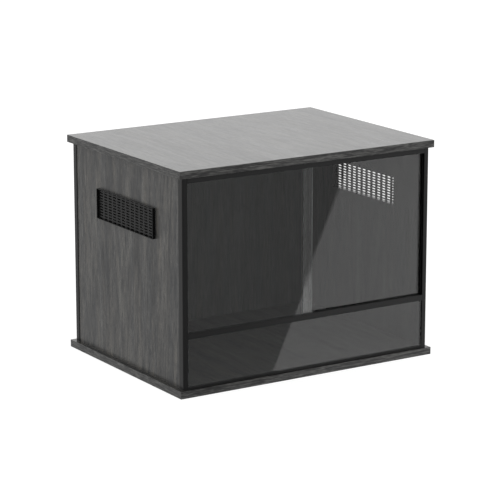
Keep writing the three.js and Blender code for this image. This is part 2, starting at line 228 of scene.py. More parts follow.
def make_floor():
    bm = bmesh.new()
    bmesh.ops.create_grid(bm, x_segments=1, y_segments=1, size=FLOOR_HALF)
    bmesh.ops.translate(bm, verts=bm.verts, vec=(0, 0, -FLOOR_DROP))
    mesh = bpy.data.meshes.new("floor")
    bm.to_mesh(mesh)
    bm.free()
    floor = bpy.data.objects.new("floor", mesh)
    scene.collection.objects.link(floor)
    finish = new_finish("pale floor")
    plain = finish.node("BsdfDiffuse", None, {"Color": grey(FLOOR_PLAIN)})
    dim = finish.node("BsdfDiffuse", None, {"Color": grey(FLOOR_DIM)})
    glow = finish.node("Emission", None, {"Color": grey(1), "Strength": FLOOR_CAMERA_GLOW})
    straight = finish.node("AddShader", None, {0: dim, 1: glow})
    mirrored = finish.node("Emission", None, {"Color": grey(1), "Strength": FLOOR_GLOSS_GLOW})
    direct = finish.node("LightPath", output="Is Camera Ray")
    looked_at = finish.node("MixShader", None, {0: direct, 1: mirrored, 2: straight})
    both = finish.node("MixShader", None, {0: seen_ray(finish), 1: plain, 2: looked_at})
    mesh.materials.append(finish.end(both))


scene.view_settings.view_transform = "Standard"
make_world()
make_floor()
print("world at", WORLD_LIGHT, "and a floor", 2 * FLOOR_HALF, "m wide")

# %% [markdown]
# ## Reflection cards
# Black plastic and glass show nothing but what they mirror. A studio lays cards round such an
# object. The glass of the photograph is dark on the left and light on the right, with one
# slanting border: the edge of a grey card that lies on the floor in front. Its line was found by
# following the camera's sight line from points of that border, off the glass and down to the
# floor. A lighter card lies on the left. Only gloss and glass see them, so they light nothing.

# %% Cards
CARD_HEIGHT = 0.5 * MM
CARD_REACH = 5.0
CARD_NEAR = 0.24
BORDER_START = -0.3305
BORDER_SLOPE = -1.226
FRONT_CARD = 0.34
LEFT_CARD = 0.7


def border_x(y):
    """Where the front card's slanting edge is, at that depth."""
    return (y - BORDER_START) / BORDER_SLOPE


def lay_card(name, corners, brightness):
    bm = bmesh.new()
    bm.faces.new([bm.verts.new((x, y, CARD_HEIGHT)) for x, y in corners])
    mesh = bpy.data.meshes.new(name)
    bm.to_mesh(mesh)
    bm.free()
    card = bpy.data.objects.new(name, mesh)
    scene.collection.objects.link(card)
    finish = new_finish(name)
    glow = finish.node("Emission", None, {"Color": grey(brightness)})
    mesh.materials.append(finish.end(glow))
    card.visible_camera = False
    card.visible_diffuse = False
    card.visible_shadow = False


lay_card("front_card", [(border_x(-CARD_NEAR), -CARD_NEAR), (-CARD_REACH, -CARD_NEAR),
                        (-CARD_REACH, -CARD_REACH), (border_x(-CARD_REACH), -CARD_REACH)],
         FRONT_CARD)
lay_card("left_card", [(cad_low.x - CARD_HEIGHT, -CARD_NEAR),
                       (cad_low.x - CARD_HEIGHT, CARD_REACH),
                       (-CARD_REACH, CARD_REACH), (-CARD_REACH, -CARD_NEAR)],
         LEFT_CARD)
print("the grey card's edge starts", round(border_x(-CARD_NEAR), 3), "m from the middle")

# %% [markdown]
# ## Overhead light
# The top board is the brightest surface. Most of that is the white background mirrored at a
# flat angle, and a wide soft lamp above adds the rest without a hard shadow.

# %% Lamp
LAMP_SIDE = 3.0
LAMP_HEIGHT = 3.2
LAMP_WATTS = 14

lamp_data = bpy.data.lights.new("overhead", "AREA")
lamp_data.size = LAMP_SIDE
lamp_data.energy = LAMP_WATTS
lamp = bpy.data.objects.new("overhead", lamp_data)
lamp.location = (0, 0, LAMP_HEIGHT)
lamp.visible_camera = False
lamp.visible_glossy = False
scene.collection.objects.link(lamp)
print("lamp of", LAMP_WATTS, "W at", LAMP_HEIGHT, "m")

# %% [markdown]
# ## Woodgrain foil
# The boards are covered with a printed foil. What shows is the picture of a sawn timber: growth
# rings that the saw cut at a slant, which gives long pointed arches, fibres a few millimetres
# wide, small dark pores, and here and there a knot that the rings flow round. A noise stretched
# along the grain gives fibres but never arches, so the rings are built as what they are:
# cylinders round the heart of a tree, cut by the board. The distance from that heart, wavered a
# little, counts the rings. Each board takes its own cut of the timber. The top board's figure is
# weaker, because mostly gloss shows there. The base board mirrors less, and its colour is halved:
# painted shade, which brings its narrow ledge near to the shade that it has in the photograph.

# %% The timber
RING_PITCH = 0.017
FIBRE = (300, 300, 20)
FINE_FIBRE = (850, 850, 75)
CLOUD = (36, 36, 3.4)
WARMTH = (75, 75, 5)
PORES = (900, 900, 55)
WAVER = (9, 9, 2.4)
WAVER_REACH = 0.11
KNOT_LENGTH = 1.7
KNOT_PUSH = 1.6
RING_WEIGHT = 0.045
FIBRE_WEIGHT = 0.95
FINE_WEIGHT = 0.85
CLOUD_WEIGHT = 0.65
PORE_START = 0.6
PORE_STEEPNESS = 9


def timber_place(finish, along, across, shift):
    """Object coordinates in metres, turned so that X is across the grain and Z along it."""
    whole = finish.node("TexCoord", output="Object")
    through = ({"X", "Y", "Z"} - {along, across}).pop()
    apart = finish.node("SeparateXYZ", None, {0: whole}, output="X")
    inputs = {"X": apart.other(across) + shift[0], "Y": apart.other(through),
              "Z": apart.other(along) + shift[1]}
    return finish.node("CombineXYZ", None, inputs)


def stretched_noise(finish, place, stretch, detail=2.0, waver=0.0):
    scaled = finish.node("VectorMath", {"operation": "MULTIPLY"}, {0: place, 1: stretch})
    inputs = {"Vector": scaled, "Scale": 1.0, "Detail": detail, "Distortion": waver}
    return finish.node("TexNoise", None, inputs)


def even_noise(finish, scale, detail=2.0):
    """A noise that is the same in every direction, in features to the metre."""
    place = finish.node("TexCoord", output="Object")
    return finish.node("TexNoise", None, {"Vector": place, "Scale": scale, "Detail": detail})


def relief(finish, height, depth, strength):
    """A bump of that depth, as a value for the Normal socket."""
    inputs = {"Strength": strength, "Distance": depth, "Height": height}
    return finish.node("Bump", None, inputs)


def bell(offset, width):
    """1 where the offset is none, falling to nothing past the width."""
    scaled = offset / width
    return (scaled * scaled * -1).math("EXPONENT")


def ring_radius(finish, place, heart, depth, lean, knots):
    """Distance from the heart of the tree, pushed outwards round each knot."""
    apart = finish.node("SeparateXYZ", None, {0: place}, output="X")
    across, along = apart, apart.other("Z")
    waver = stretched_noise(finish, place, WAVER, 2.0)
    side = across - heart + (waver - 0.5) * WAVER_REACH
    below = along * lean + depth
    radius = (side * side + below * below) ** 0.5
    for knot_across, knot_along, size in knots:
        near = bell(across - knot_across, size) * bell(along - knot_along, size * KNOT_LENGTH)
        radius = radius + near * size * KNOT_PUSH
    return radius


def grain(finish, place, heart, depth, lean, knots):
    """Tone of the grain, round 0.5, and the pores as 0 to 1."""
    radius = ring_radius(finish, place, heart, depth, lean, knots)
    rings = (radius * (2 * math.pi / RING_PITCH)).math("SINE")
    fibre = stretched_noise(finish, place, FIBRE, 3.0, 0.3)
    fine = stretched_noise(finish, place, FINE_FIBRE, 2.0)
    cloud = stretched_noise(finish, place, CLOUD, 2.0, 0.4)
    tone = rings * RING_WEIGHT + (fibre - 0.5) * FIBRE_WEIGHT + (fine - 0.5) * FINE_WEIGHT
    tone = tone + (cloud - 0.5) * CLOUD_WEIGHT
    pores = stretched_noise(finish, place, PORES, 1.0)
    pores = ((pores - PORE_START) * PORE_STEEPNESS).math("MAXIMUM", 0.0).math("MINIMUM", 1.0)
    return tone + 0.5, pores


def warm_and_cool(finish, place, colour, warm, cool):
    """The colour times a tint that drifts between the two."""
    drift = stretched_noise(finish, place, WARMTH, 2.0)
    tint = finish.node("ValToRGB", {"stops": [(0.35, cool), (0.65, warm)]}, {0: drift})
    settings = {"data_type": "RGBA", "blend_type": "MULTIPLY"}
    return finish.node("Mix", settings, {0: 1.0, 6: colour, 7: tint}, output=2)


FOIL_TONES = [(0.26, (0.011, 0.0115, 0.0125)), (0.45, (0.032, 0.032, 0.032)),
              (0.56, (0.050, 0.049, 0.047)), (0.78, (0.098, 0.094, 0.086))]
GREY_WARM = (1.0, 0.965, 0.91)
GREY_COOL = (0.965, 0.985, 1.0)
PINK_WARM = (1.0, 0.93, 0.92)
SATIN = 0.3
SMOOTH = 0.14
FOIL_IOR = 1.5
DULL_IOR = 1.22
INNER_ROUGHNESS = 0.75
INNER_CALM = 0.65
PORE_DARKNESS = 0.16
PORE_ROUGHNESS = 0.1
TONE_ROUGHNESS = 0.18
FOIL_RELIEF = 0.06 * MM
# painted shade: halves the base board's colour to darken its narrow ledge under the side panels
PAINTED_SHADE_FACTOR = 0.5


def inner_face(finish, axis, board):
    """1 on the half of the board that is nearer to the middle of the cabinet."""
    number = "XYZ".index(axis)
    board_middle, cabinet_middle = [
        (low[number] + high[number]) / 2 for low, high in (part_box(board), (cad_low, cad_high))]
    whole = finish.node("TexCoord", output="Object")
    apart = finish.node("SeparateXYZ", None, {0: whole}, output=axis)
    towards = 1 if board_middle < cabinet_middle else -1
    return ((apart - board_middle) * towards).math("GREATER_THAN", 0.0)


def woodgrain(board, along, across, shift=(0, 0), heart=0.0, depth=0.05, lean=0.12, knots=(),
              warm=GREY_WARM, inner=None, roughness=SATIN, tones=FOIL_TONES, strength=1.0,
              ior=FOIL_IOR):
    """The foil of one board. Its inner side, if it has one, is rougher and calmer."""
    finish = new_finish("foil of " + board)
    place = timber_place(finish, along, across, shift)
    tone, pores = grain(finish, place, heart, depth, lean, knots)
    tone = (tone - 0.5) * strength + 0.5
    pores = pores * strength
    shade = tone - pores * PORE_DARKNESS
    rough = roughness + (0.5 - tone) * TONE_ROUGHNESS + pores * PORE_ROUGHNESS
    if inner:
        inside = inner_face(finish, inner, board)
        shade = (shade - 0.5) * (1 - inside * INNER_CALM) + 0.5
        rough = rough + inside * (INNER_ROUGHNESS - roughness)
    colour = finish.node("ValToRGB", {"stops": tones}, {0: shade})
    colour = warm_and_cool(finish, place, colour, warm, GREY_COOL)
    bump = relief(finish, tone * 0.5 - pores, FOIL_RELIEF, 0.25)
    foil = finish.node("BsdfPrincipled", None, {
        "Base Color": colour, "Roughness": rough, "Normal": bump, "IOR": ior})
    return finish.end(foil)


# the foil tones darkened by the painted shade, for the base board
PAINTED_SHADE_TONES = [(place, tuple(PAINTED_SHADE_FACTOR * part for part in colour))
              for place, colour in FOIL_TONES]
cuts = {
    "left_side_panel": dict(
        along="Z", across="Y", heart=0.01, depth=0.11, lean=-0.16,
        knots=[(-0.141, 0.204, 0.007)], inner="X"),
    "right_side_panel": dict(
        along="Z", across="Y", shift=(0.37, 0.9), heart=0.27, depth=0.02, lean=0.10,
        knots=[(0.208, 1.21, 0.009)], warm=PINK_WARM, inner="X"),
    "back_panel": dict(
        along="Z", across="X", shift=(0.8, 1.7), heart=0.93, depth=0.05, lean=0.10,
        knots=[(1.0125, 1.907, 0.011)], inner="Y"),
    "top_panel": dict(
        along="Y", across="X", shift=(1.9, 0.4), heart=1.92, depth=0.05, lean=0.13,
        strength=0.4),
    # the base board's foil carries the painted shade of its ledge
    "base_panel": dict(
        along="Y", across="X", shift=(2.9, 0.4), heart=2.8, roughness=SMOOTH, tones=PAINTED_SHADE_TONES,
        ior=DULL_IOR),
    "floor_panel": dict(along="Y", across="X", shift=(3.9, 0.4), heart=3.85, inner="Z"),
}
for board, cut in cuts.items():
    nodes[board].material_slots[0].material = woodgrain(board, **cut)
print("woodgrain on", ", ".join(cuts))

# %% [markdown]
# ## Making a piece
# Pieces are modelled as bmeshes. One function ends each of them: it closes the seams, turns the
# faces out, shades the small roundings smoothly while the large faces stay flat, and lets the
# piece ride on its body in place of the CAD nodes.

# %% End of a piece
SMOOTH_UNDER = math.radians(50)
SEAM = 0.001 * MM


def finish_piece(name, bm, materials, slot, body, *replaced):
    bmesh.ops.remove_doubles(bm, verts=bm.verts, dist=SEAM)
    bmesh.ops.recalc_face_normals(bm, faces=bm.faces)
    mesh = bpy.data.meshes.new(name)
    bm.to_mesh(mesh)
    bm.free()
    for material in materials:
        mesh.materials.append(material)
    mesh.shade_smooth()
    mesh.set_sharp_from_angle(angle=SMOOTH_UNDER)
    piece = bpy.data.objects.new(name, mesh)
    scene.collection.objects.link(piece)
    weights = piece.modifiers.new("flat faces stay flat", "WEIGHTED_NORMAL")
    weights.keep_sharp = True
    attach(piece, body)
    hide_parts(*replaced)


def block(low, high):
    """A box between two corners, as a new bmesh."""
    bm = bmesh.new()
    bmesh.ops.create_cube(bm, size=1)
    low, high = Vector(low), Vector(high)
    bmesh.ops.scale(bm, verts=bm.verts, vec=high - low)
    bmesh.ops.translate(bm, verts=bm.verts, vec=(low + high) / 2)
    return bm


def soften(bm, edges, width, segments=2):
    bmesh.ops.bevel(bm, geom=list(edges), offset=width, segments=segments, profile=0.5,
                    affect="EDGES", material=-1)


def runs_along(edge, axis):
    span = edge.verts[0].co - edge.verts[1].co
    return abs(abs(span[axis]) - span.length) < TINY


print("a piece ends with", finish_piece.__name__)

# %% [markdown]
# ## Edge banding
# Each board's edges are covered with a strip of printed plastic, glued on and trimmed flush. Its
# grain runs along the strip in short thin streaks. A block with its long outer edges eased is the
# true shape; the easing catches the light as a fine line.

# %% Bands
EASING = 0.3 * MM
BAND_STREAK = (560, 60, 32)
BAND_FINE = (1500, 200, 80)
STREAK_WEIGHT = 1.9
BAND_FINE_WEIGHT = 1.6
BAND_RELIEF = 0.08 * MM
BAND_ROUGHNESS = 0.42
BAND_TONE_ROUGHNESS = 0.1
BAND_TONES = [(0.24, (0.003, 0.003, 0.003)), (0.5, (0.024, 0.024, 0.0235)),
              (0.78, (0.088, 0.087, 0.083))]


def banding(name, along):
    """Streaks along X or Y, changing over the height."""
    finish = new_finish(name)
    place = timber_place(finish, along, "Z", (0, 0))
    streak = stretched_noise(finish, place, BAND_STREAK, 2.0, 0.3)
    fine = stretched_noise(finish, place, BAND_FINE, 2.0)
    tone = 0.5 + (streak - 0.5) * STREAK_WEIGHT + (fine - 0.5) * BAND_FINE_WEIGHT
    colour = finish.node("ValToRGB", {"stops": BAND_TONES}, {0: tone})
    rough = BAND_ROUGHNESS - tone * BAND_TONE_ROUGHNESS
    bump = relief(finish, tone, BAND_RELIEF, 0.3)
    strip = finish.node("BsdfPrincipled", None, {
        "Base Color": colour, "Roughness": rough, "Normal": bump, "IOR": FOIL_IOR})
    return finish.end(strip)


band_finishes = {"front": banding("banding, along the front", "X"),
                 "left": banding("banding, along the sides", "Y")}
band_finishes["back"] = band_finishes["front"]
band_finishes["right"] = band_finishes["left"]


def make_band(board, side):
    node_name = f"{board}_band_{side}"
    low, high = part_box(node_name)
    bm = block(low, high)
    axis = 0 if side in ("front", "back") else 1
    outer = 1 - axis
    middle = (low + high) / 2
    outward = math.copysign(1, middle[outer])
    long_edges = [edge for edge in bm.edges if runs_along(edge, axis)
                  and (edge.verts[0].co[outer] - middle[outer]) * outward > 0]
    soften(bm, long_edges, EASING)
    finish_piece(f"{board}_{side}_edge_band", bm, [band_finishes[side]],
                 "woodgrain_banding", "cabinet", node_name)


for board in ("top", "base"):
    for side in ("front", "back", "left", "right"):
        make_band(board, side)
print("8 bands, eased by", EASING / MM, "mm")

# %% [markdown]
# ## Black profiles
# The posts and rails are extruded: one cross-section, pulled along. So each is drawn as one
# outline, its corners are rounded where a die rounds them, its hollow is left out as a hole, and
# the filled outline is extruded. The plastic is almost black. What shows is its gloss, with very
# faint lines along the length from the die.

# %% Profile finish
DIE_LINES = (900, 900, 1.5)
DIE_CLOUD = (30, 30, 5)
DIE_RELIEF = 0.02 * MM
LINE_ROUGHNESS = 0.12
CLOUD_ROUGHNESS = 0.1
UPRIGHT_ROUGHNESS = 0.3
LEVEL_ROUGHNESS = 0.42
PROFILE_IOR = 1.38


def extruded_black(name, along, roughness):
    finish = new_finish(name)
    across = "X" if along != "X" else "Y"
    place = timber_place(finish, along, across, (0, 0))
    lines = stretched_noise(finish, place, DIE_LINES, 2.0)
    cloudy = stretched_noise(finish, place, DIE_CLOUD, 2.0)
    rough = roughness + (lines - 0.5) * LINE_ROUGHNESS + (cloudy - 0.5) * CLOUD_ROUGHNESS
    bump = relief(finish, lines, DIE_RELIEF, 0.15)
    black = finish.node("BsdfPrincipled", None, {
        "Base Color": (0.0035, 0.0035, 0.0036, 1), "Roughness": rough, "Normal": bump,
        "IOR": PROFILE_IOR})
    return finish.end(black)


upright_black = extruded_black("black profile, upright", "Z", UPRIGHT_ROUGHNESS)
level_black = extruded_black("black profile, level", "X", LEVEL_ROUGHNESS)
for node_name in ("left_rail_peg", "right_rail_peg"):
    nodes[node_name].material_slots[0].material = level_black
print("profiles in", upright_black.name, "and", level_black.name)

# %% Profile sections
SKIN = 1.6 * MM
LIP = 1.5 * MM
CHANNEL = 4.6 * MM
FLANGE_LAP = 3.3 * MM
BACK_LAP = 0.8 * MM
POST_RADIUS = 3 * MM
TONGUE = 2 * MM
TONGUE_REACH = 5 * MM
DIE_RADIUS = 0.3 * MM
LAP_RADIUS = 1.25 * MM

post_low, post_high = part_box("front_right_post")
panel_low, panel_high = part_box("right_side_panel")
side_face, front_face = post_high.x, post_low.y
post_inner = post_low.x
channel_bottom = side_face - SKIN
panel_centre = (panel_low.x + panel_high.x) / 2
frame_depth = 3 * LIP + 2 * CHANNEL
frame_rear = front_face + frame_depth
track_walls = [front_face + i * (LIP + CHANNEL) for i in range(3)]


def draw_loop(bm, points, rounding):
    """A closed loop of edges through the points, with its corners rounded."""
    known = set(bm.verts)
    corners = [bm.verts.new(point) for point in points]
    bm.faces.new(corners)
    for radius in sorted(set(rounding) - {0}):
        chosen = [corner for corner, own in zip(corners, rounding) if own == radius]
        bmesh.ops.bevel(bm, geom=chosen, offset=radius, segments=max(2, round(radius / MM * 3)),
                        profile=0.5, affect="VERTICES", material=-1)
    own = set(bm.verts) - known
    bmesh.ops.delete(bm, geom=[face for face in bm.faces if set(face.verts) <= own],
                     context="FACES_ONLY")


def extruded(points, rounding, pull, hollow=()):
    """A profile: its outline and its hollow, pulled along a vector."""
    bm = bmesh.new()
    draw_loop(bm, points, rounding)
    if hollow:
        draw_loop(bm, hollow, [0] * len(hollow))
    bmesh.ops.triangle_fill(bm, edges=bm.edges, use_beauty=True)
    pulled = bmesh.ops.extrude_face_region(bm, geom=bm.faces[:])["geom"]
    moved = [part for part in pulled if isinstance(part, bmesh.types.BMVert)]
    bmesh.ops.translate(bm, verts=moved, vec=pull)
    return bm


def track_comb(tip, root):
    """Three walls and two channels, from the rear to the front, as depth and height."""
    points = []
    for i in (2, 1, 0):
        points += [(track_walls[i] + LIP, tip), (track_walls[i], tip)]
        if i:
            points += [(track_walls[i], root), (track_walls[i - 1] + LIP, root)]
    return points


print("channels of", CHANNEL / MM, "mm between walls of", LIP / MM, "mm")

# %% [markdown]
# ### Posts
# A front post shows its rounded corner, a flange that laps over the side panel, and two channels
# for the panes. A back post is an L of two hollow legs, each with a short flange. Both hold a
# panel by a tongue. The outer corner of a post has the largest rounding. The tips of the flanges
# that lap over the panels have a smaller one, and the other corners only that of the die. The
# left posts are the mirror image of the right ones.

# %% Posts
def front_post_outline():
    flange_end = frame_rear + FLANGE_LAP
    tongue_end = frame_rear + TONGUE_REACH
    outer, inner = panel_centre + TONGUE / 2, panel_centre - TONGUE / 2
    return [(side_face, front_face), (side_face, flange_end), (channel_bottom, flange_end),
            (channel_bottom, frame_rear), (outer, frame_rear), (outer, tongue_end),
            (inner, tongue_end), (inner, frame_rear),
            *[(x, y) for y, x in track_comb(post_inner, channel_bottom)]]


def back_post_outline(back_face):
    near = side_face - panel_centre - TONGUE / 2
    far = near + TONGUE
    width = side_face - post_inner
    flange, tongue_end = frame_depth + BACK_LAP, frame_depth + TONGUE_REACH
    leg = [(flange, 0), (flange, SKIN), (frame_depth, SKIN), (frame_depth, near),
           (tongue_end, near), (tongue_end, far), (frame_depth, far), (frame_depth, width)]
    other_leg = [(v, u) for u, v in reversed(leg)]
    inner, leg_end = width - LIP, frame_depth - LIP
    hollow = [(SKIN, SKIN), (SKIN, leg_end), (inner, leg_end), (inner, inner),
              (leg_end, inner), (leg_end, SKIN)]
    place = lambda loop: [(side_face - u, back_face - v) for u, v in loop]
    return place([(0, 0), *leg, (width, width), *other_leg]), place(hollow)


def make_post(name, side, outline, lap_tips, hollow=()):
    low, high = post_low.z, post_high.z
    upright = lambda loop: [(side * x, y, low) for x, y in loop]
    rounding = [POST_RADIUS] + [DIE_RADIUS] * (len(outline) - 1)
    for tip in lap_tips:
        rounding[tip] = LAP_RADIUS
    bm = extruded(upright(outline), rounding, (0, 0, high - low), upright(hollow))
    finish_piece(f"{name}_profile", bm, [upright_black], "black_profile", "cabinet", name)


back_outline, back_hollow = back_post_outline(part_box("back_right_post")[1].y)
for side, word in ((1, "right"), (-1, "left")):
    make_post(f"front_{word}_post", side, front_post_outline(), [1])
    make_post(f"back_{word}_post", side, back_outline, [1, -1], back_hollow)
print("4 posts,", round((post_high.z - post_low.z) / MM), "mm tall")

# %% [markdown]
# ### Rails
# The top rail is a comb that hangs from its web, deep enough to lift a door up and out. The
# middle rail is a comb for the doors over a channel for the kick glass and a hollow core. The
# bottom rail is a single low channel.

# %% Rails
TOP_WEB = 1.5 * MM
TRACK_DEPTH = 5 * MM
MIDDLE_WEB = 2 * MM
CORE_FLOOR = 1.2 * MM
BOTTOM_WEB = 1.5 * MM


def make_rail(name, outline, hollow=()):
    low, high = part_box(name)
    level = lambda loop: [(low.x, y, z) for y, z in loop]
    rounding = [DIE_RADIUS] * len(outline)
    bm = extruded(level(outline), rounding, (high.x - low.x, 0, 0), level(hollow))
    finish_piece(f"{name}_profile", bm, [level_black], "black_profile", "cabinet", name)


def top_rail_outline():
    low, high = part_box("top_rail")
    return [(front_face, high.z), (frame_rear, high.z), *track_comb(low.z, high.z - TOP_WEB)]


def middle_rail_outline():
    low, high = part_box("middle_rail")
    front, middle, rear = track_walls
    track_floor = high.z - TRACK_DEPTH
    ceiling = track_floor - MIDDLE_WEB
    outline = [*track_comb(high.z, track_floor), (front, low.z), (front + LIP, low.z),
               (front + LIP, ceiling), (middle, ceiling), (middle, low.z),
               (frame_rear, low.z)]
    core = low.z + CORE_FLOOR
    return outline, [(middle + LIP, core), (middle + LIP, ceiling), (rear, ceiling),
                     (rear, core)]


def bottom_rail_outline():
    low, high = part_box("bottom_rail")
    front, middle = track_walls[:2]
    floor = low.z + BOTTOM_WEB
    return [(front, low.z), (middle + LIP, low.z), (middle + LIP, high.z), (middle, high.z),
            (middle, floor), (front + LIP, floor), (front + LIP, high.z), (front, high.z)]


make_rail("top_rail", top_rail_outline())
make_rail("middle_rail", *middle_rail_outline())
make_rail("bottom_rail", bottom_rail_outline())
print("3 rails")

# %% [markdown]
# ## Glass
# The doors and the kick glass are 4 mm float glass. Each pane is a real slab with two surfaces,
# so it mirrors twice and lets the rest through, and two panes that overlap look lighter. Its
# edges are ground: a narrow chamfer and a frosted rim. The gloss comes from the shader,
# with nothing painted.

# %% Panes
GLASS_CORNER = 1.5 * MM
GLASS_CHAMFER = 0.4 * MM
LIGHT_THROUGH = (0.8, 0.82, 0.81, 1)
GLASS_IOR = 1.5
FILM_SCALE = 9
FILM_ROUGHNESS = 0.006
GROUND_SCALE = 2500
GROUND_RELIEF = 0.02 * MM
FLAT = 0.99


def let_light_in(finish, glass):
    """Glass for the eye, and a clear tint for the light that goes into the cabinet."""
    path = finish.node("LightPath", output="Is Shadow Ray")
    lit = path.math("MAXIMUM", path.other("Is Diffuse Ray"))
    clear = finish.node("BsdfTransparent", None, {"Color": LIGHT_THROUGH})
    return finish.node("MixShader", None, {0: lit, 1: glass, 2: clear})


def clear_glass():
    finish = new_finish("float glass")
    film = even_noise(finish, FILM_SCALE, 3.0)
    film = ((film - 0.5) * 4).math("MAXIMUM", 0.0).math("MINIMUM", 1.0)
    glass = finish.node("BsdfPrincipled", None, {
        "Base Color": (0.985, 0.99, 0.988, 1), "Roughness": film * FILM_ROUGHNESS,
        "IOR": GLASS_IOR, "Transmission Weight": 1.0})
    return finish.end(let_light_in(finish, glass))


def ground_glass():
    finish = new_finish("ground glass edge")
    grit = even_noise(finish, GROUND_SCALE)
    bump = relief(finish, grit, GROUND_RELIEF, 0.4)
    edge = finish.node("BsdfPrincipled", None, {
        "Base Color": (0.62, 0.72, 0.68, 1), "Roughness": 0.35 + grit * 0.2, "IOR": GLASS_IOR,
        "Transmission Weight": 1.0, "Normal": bump})
    return finish.end(let_light_in(finish, edge))


pane_finishes = [clear_glass(), ground_glass()]


def make_pane(node_name, body):
    bm = block(*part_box(node_name))
    soften(bm, [edge for edge in bm.edges if runs_along(edge, 1)], GLASS_CORNER, 6)
    faces = [face for face in bm.faces if abs(face.normal.y) > FLAT]
    soften(bm, {edge for face in faces for edge in face.edges}, GLASS_CHAMFER, 1)
    for face in bm.faces:
        face.material_index = 0 if abs(face.normal.y) > FLAT else 1
    finish_piece(node_name.replace("_glass", "_pane"), bm, pane_finishes, "glass", body,
                 node_name)


make_pane("left_door_glass", "left_door")
make_pane("right_door_glass", "right_door")
make_pane("kick_glass", "cabinet")
print("3 panes of float glass")

# %% [markdown]
# ## Vents
# Each vent is one black moulding: a thin rim that stands proud of the panel, a plate set back in
# it with 12 by 11 slots, and a sleeve that lines the panel's cut-out. A plate with a texture of
# slots would let no light through, so the slots are cut. One slot is drawn as a loop with round
# ends and copied, and the plate is filled round all of them. Then its border is pulled on from
# ring to ring to make the rim and the sleeve. The result is a single closed skin.

# %% Vent finish
SHEEN_SCALE = 60
GRIT_SCALE = 1800
GRIT_RELIEF = 0.03 * MM
MOULDING_ROUGHNESS = 0.28
MOULDING_IOR = 1.29


def moulded_black():
    finish = new_finish("black moulding")
    rough = (even_noise(finish, SHEEN_SCALE) - 0.5) * 0.15 + MOULDING_ROUGHNESS
    bump = relief(finish, even_noise(finish, GRIT_SCALE), GRIT_RELIEF, 0.2)
    black = finish.node("BsdfPrincipled", None, {
        "Base Color": grey(0.003), "Roughness": rough, "Normal": bump, "IOR": MOULDING_IOR})
    return finish.end(black)


vent_black = moulded_black()
print(vent_black.name)

# %% Vent
SLOT_COLUMNS = 12
SLOT_ROWS = 11
SLOT_LENGTH = 13 * MM
SLOT_HEIGHT = 2.9 * MM
COLUMN_PITCH = 17.85 * MM
ROW_PITCH = 5.7 * MM
VENT_END_WALL = 2 * MM
VENT_LONG_WALL = 0.9 * MM
VENT_CORNER = 2 * MM
VENT_RECESS = 4 * MM
VENT_PLATE = 2.5 * MM
SLEEVE_STEP = 0.4 * MM
RIM_ROUND = 0.25 * MM
ARC_SEGMENTS = 6
NEARLY_ROUND = 0.999

vent_low, vent_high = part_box("right_vent")
vent_middle = (vent_low + vent_high) / 2
vent_face = vent_high.x
rim_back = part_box("right_side_panel")[1].x
plate_front = vent_face - VENT_RECESS
plate_back = plate_front - VENT_PLATE
opening = ((vent_high.y - vent_low.y) / 2 - VENT_END_WALL,
           (vent_high.z - vent_low.z) / 2 - VENT_LONG_WALL)
rim_outer = ((vent_high.y - vent_low.y) / 2, (vent_high.z - vent_low.z) / 2)


def rounded_loop(bm, x, half_y, half_z, radius, centre=(0, 0)):
    """A loop of edges: a rectangle with round corners, in the plane of that x."""
    u, v = vent_middle.y + centre[0], vent_middle.z + centre[1]
    corners = [bm.verts.new((x, u + sy * half_y, v + sz * half_z))
               for sy, sz in ((1, 1), (-1, 1), (-1, -1), (1, -1))]
    bm.faces.new(corners)
    known = set(bm.verts) - set(corners)
    bmesh.ops.bevel(bm, geom=corners, offset=radius, segments=ARC_SEGMENTS, profile=0.5,
                    affect="VERTICES", material=-1)
    ring = set(bm.verts) - known
    bmesh.ops.delete(bm, geom=[face for face in bm.faces if set(face.verts) <= ring],
                     context="FACES_ONLY")
    return [edge for edge in bm.edges if set(edge.verts) <= ring]


def slotted_plate(bm):
    """The plate's front, filled round its slots, and its back, joined through the slots."""
    border = rounded_loop(bm, plate_front, *opening, VENT_CORNER - VENT_LONG_WALL)
    first = (-(SLOT_COLUMNS - 1) * COLUMN_PITCH / 2, -(SLOT_ROWS - 1) * ROW_PITCH / 2)
    slot = rounded_loop(bm, plate_front, SLOT_LENGTH / 2, SLOT_HEIGHT / 2,
                        SLOT_HEIGHT / 2 * NEARLY_ROUND, first)
    slot_parts = slot + list({vert for edge in slot for vert in edge.verts})
    loops = list(slot)
    for column in range(SLOT_COLUMNS):
        for row in range(SLOT_ROWS):
            if column or row:
                copied = bmesh.ops.duplicate(bm, geom=slot_parts)["geom"]
                verts = [part for part in copied if isinstance(part, bmesh.types.BMVert)]
                bmesh.ops.translate(bm, verts=verts,
                                    vec=(0, column * COLUMN_PITCH, row * ROW_PITCH))
                loops += [part for part in copied if isinstance(part, bmesh.types.BMEdge)]
    bmesh.ops.triangle_fill(bm, edges=border + loops, use_beauty=True)
    pulled = bmesh.ops.extrude_face_region(bm, geom=bm.faces[:], use_keep_orig=True)["geom"]
    back = [part for part in pulled if isinstance(part, bmesh.types.BMVert)]
    bmesh.ops.translate(bm, verts=back, vec=(plate_back - plate_front, 0, 0))
    return border


print("rim", round(2 * rim_outer[0] / MM, 1), "by", round(2 * rim_outer[1] / MM, 1), "mm")

